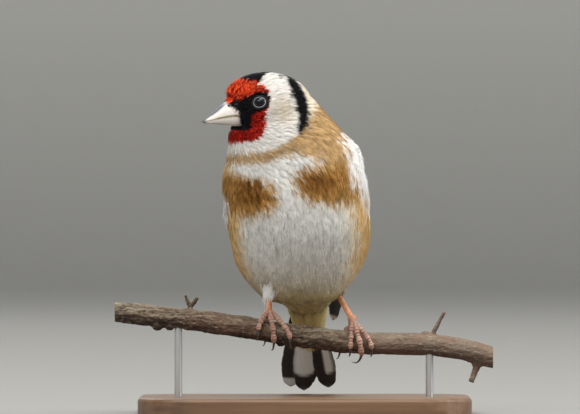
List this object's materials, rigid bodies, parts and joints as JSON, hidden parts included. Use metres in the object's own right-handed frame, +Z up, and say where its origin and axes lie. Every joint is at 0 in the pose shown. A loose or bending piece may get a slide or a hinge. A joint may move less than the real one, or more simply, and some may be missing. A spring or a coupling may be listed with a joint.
{
  "type": "european goldfinch",
  "caption": "Life-size still model of a european goldfinch gripping a cut length of branch, held on a plain flat display stand by short rods.",
  "frame": {"origin": "on the underside of the stand's base, straight below the perch's middle line and between the bird's feet", "axes": "+Z up; the bird's breast faces -Y; the perch runs along X and the head looks towards -X"},
  "size_m": [0.1185, 0.086, 0.1065],
  "materials": {
    "head_plumage": "soft feathers: red face, black crown sides and lores, white cheeks",
    "body_plumage": "soft feathers: brown breast patches, off-white belly, cream vent",
    "flight_feathers": "firm black feathers with a yellow band and white tips",
    "bill_horn": "pinkish white horn, dark at the tip",
    "eye": "wet, near black",
    "leg_skin": "pinkish brown scaled skin",
    "claw_horn": "dark horn",
    "bark": "rough grey-brown bark",
    "base_wood": "oiled dark wood, satin",
    "rod_metal": "brushed"
  },
  "bodies": {
    "root": {"head": "head_plumage", "neck": "body_plumage", "torso": "body_plumage", "bill_upper": "bill_horn", "bill_lower": "bill_horn", "eye_left": "eye", "eye_right": "eye", "wing_left": "flight_feathers", "wing_right": "flight_feathers", "tail": "flight_feathers", "thigh_left": "body_plumage", "thigh_right": "body_plumage", "tarsus_left": "leg_skin", "tarsus_right": "leg_skin", "foot_left": "leg_skin", "foot_right": "leg_skin", "claw_left_inner": "claw_horn", "claw_left_middle": "claw_horn", "claw_left_outer": "claw_horn", "claw_left_hind": "claw_horn", "claw_right_inner": "claw_horn", "claw_right_middle": "claw_horn", "claw_right_outer": "claw_horn", "claw_right_hind": "claw_horn", "perch": "bark", "stand_base": "base_wood", "stand_rod_left": "rod_metal", "stand_rod_right": "rod_metal"}
  },
  "joints": []
}
